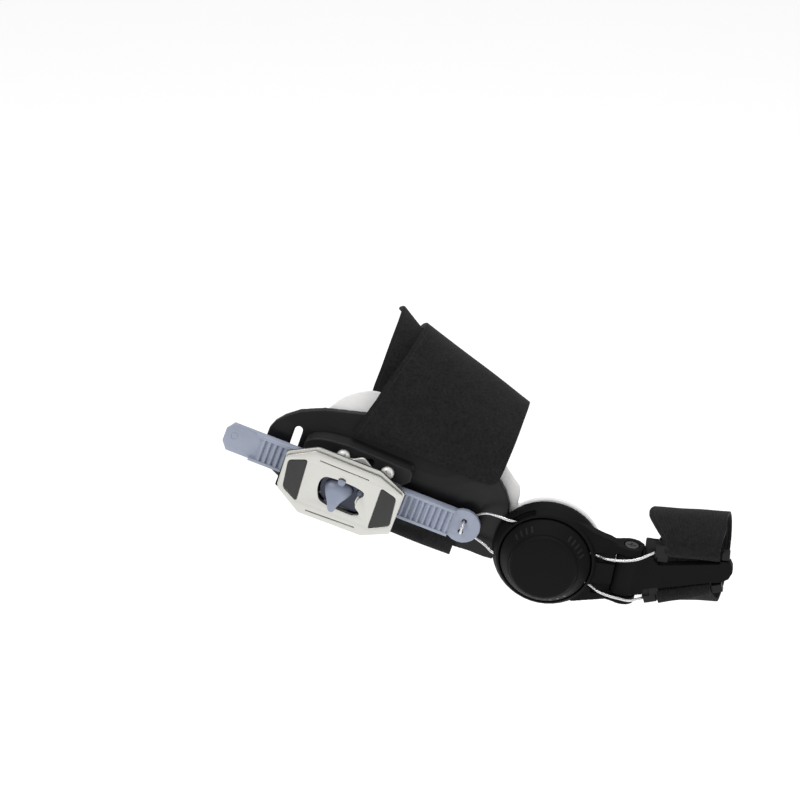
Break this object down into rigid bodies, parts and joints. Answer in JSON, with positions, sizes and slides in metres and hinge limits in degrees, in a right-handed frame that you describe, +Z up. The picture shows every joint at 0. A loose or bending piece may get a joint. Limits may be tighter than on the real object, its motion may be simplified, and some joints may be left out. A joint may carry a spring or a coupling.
{
  "type": "bunion corrector brace",
  "caption": "Hinged bunion corrector for a left foot: padded rear shell with a foot strap, ratchet buckle with a cable, round hub, front arm, toe plate and toe strap.",
  "frame": {"origin": "on the hub's axis, where the liner meets the skin", "axes": "+X towards the toes, +Y into the foot from its inner side, +Z up"},
  "size_m": [0.1755, 0.0867, 0.0888],
  "materials": {
    "black_plastic": "satin moulded",
    "black_fabric": "fine matte textile over foam",
    "white_foam": "soft white padding",
    "blue_grey_plastic": "smooth moulded",
    "cream_metal": "satin cream silver",
    "dark_inlay": "matte charcoal",
    "steel": "bright"
  },
  "bodies": {
    "brace": {"rear_shell": "black_plastic", "liner": "white_foam", "foot_strap": "black_fabric", "strap_tongue": "black_fabric", "buckle_bracket": "black_plastic", "bracket_screw_rear": "steel", "bracket_screw_front": "steel", "buckle_base": "steel", "ladder_strap": "blue_grey_plastic", "rear_cable": "steel"},
    "front_arm": {"hub_arm": "black_plastic", "hub_cap": "black_plastic", "front_cable_top": "steel", "front_cable_bottom": "steel", "toe_hinge_screw": "steel"},
    "toe_rest": {"toe_plate": "black_plastic", "toe_bar_top": "black_plastic", "toe_bar_bottom": "black_plastic", "toe_strap": "black_fabric"},
    "lever": {"lever_plate": "cream_metal", "lever_inlay_rear": "dark_inlay", "lever_inlay_front": "dark_inlay"},
    "pawl": {"release_pawl": "blue_grey_plastic"}
  },
  "joints": [
    {"name": "hub_hinge", "type": "hinge", "parent": "brace", "child": "front_arm", "pos_m": [0, 0, 0], "axis": [0, -1, 0], "range_deg": [-25, 45], "deforming": ["rear_cable"]},
    {"name": "toe_hinge", "type": "hinge", "parent": "front_arm", "child": "toe_rest", "pos_m": [0.0281, -0.0074, 0], "axis": [0.1736, 0, 0.9848], "range_deg": [-20, 15], "deforming": ["front_cable_top", "front_cable_bottom"]},
    {"name": "lever_hinge", "type": "hinge", "parent": "brace", "child": "lever", "pos_m": [-0.05409, -0.01335, 0.01794], "axis": [0.3289, 0, 0.9444], "range_deg": [0, 50]},
    {"name": "pawl_hinge", "type": "hinge", "parent": "brace", "child": "pawl", "pos_m": [-0.06864, -0.0133, 0.02301], "axis": [0.3289, 0, 0.9444], "range_deg": [-8, 0], "stiffness_Nm_per_rad": 0.01, "springref_deg": 8.59}
  ]
}
